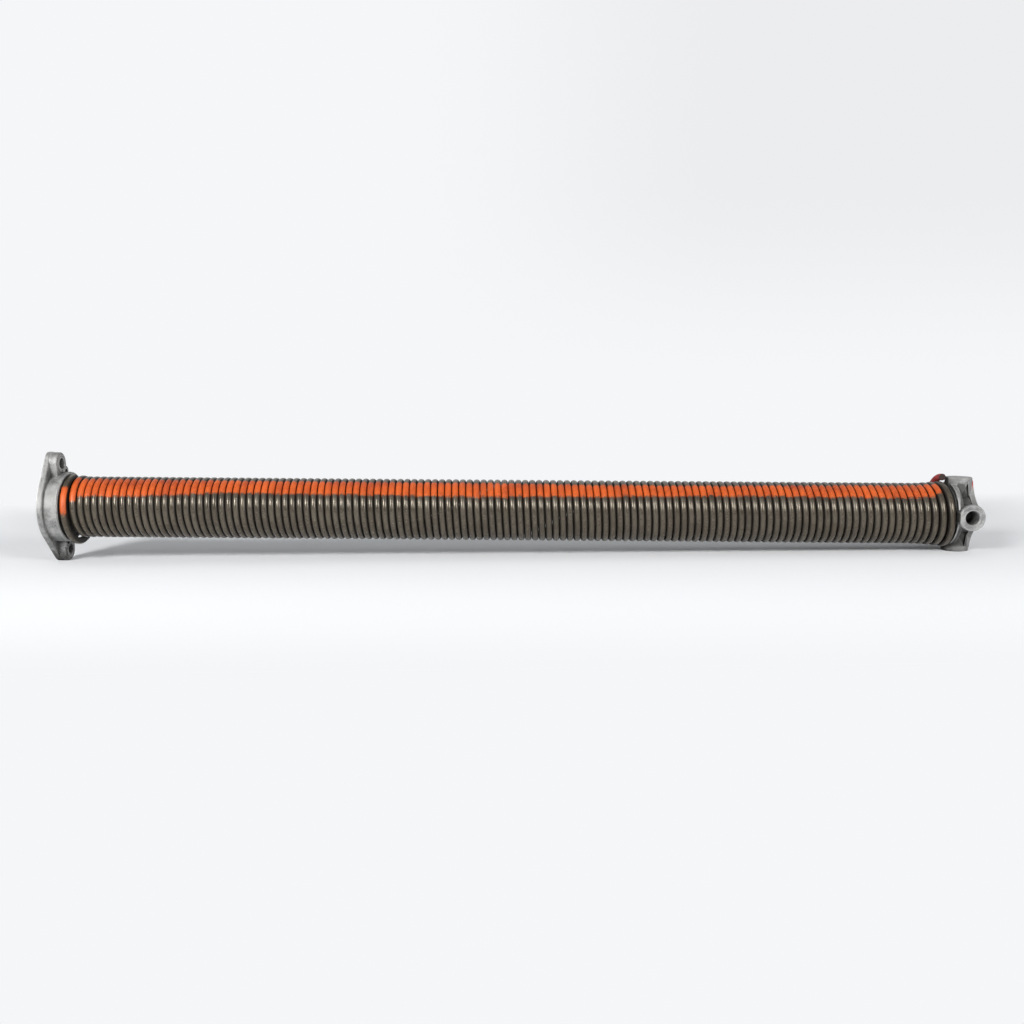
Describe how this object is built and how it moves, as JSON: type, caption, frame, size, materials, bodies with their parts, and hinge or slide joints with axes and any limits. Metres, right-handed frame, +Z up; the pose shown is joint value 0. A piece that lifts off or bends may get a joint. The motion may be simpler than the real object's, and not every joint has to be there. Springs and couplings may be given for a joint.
{
  "type": "garage door torsion spring",
  "caption": "Close-wound steel torsion spring for a garage door, with a cast anchor cone and a winding cone with bar sockets.",
  "frame": {"origin": "on the shaft axis, in the stationary cone's face that bolts to the centre bracket", "axes": "+X along the shaft axis from the stationary cone to the winding cone, +Z up, -Y to the front where the paint stripe is"},
  "size_m": [0.895, 0.075, 0.1078],
  "materials": {
    "spring_wire": "oil-tempered, dark, with an orange paint stripe and a red painted end",
    "cast_aluminium": "as die-cast, grey, lightly oxidised",
    "screw_steel": "zinc plated, dull"
  },
  "bodies": {
    "root": {"torsion_spring": "spring_wire", "stationary_cone": "cast_aluminium", "winding_cone": "cast_aluminium", "set_screw_top": "screw_steel", "set_screw_bottom": "screw_steel"}
  },
  "joints": []
}
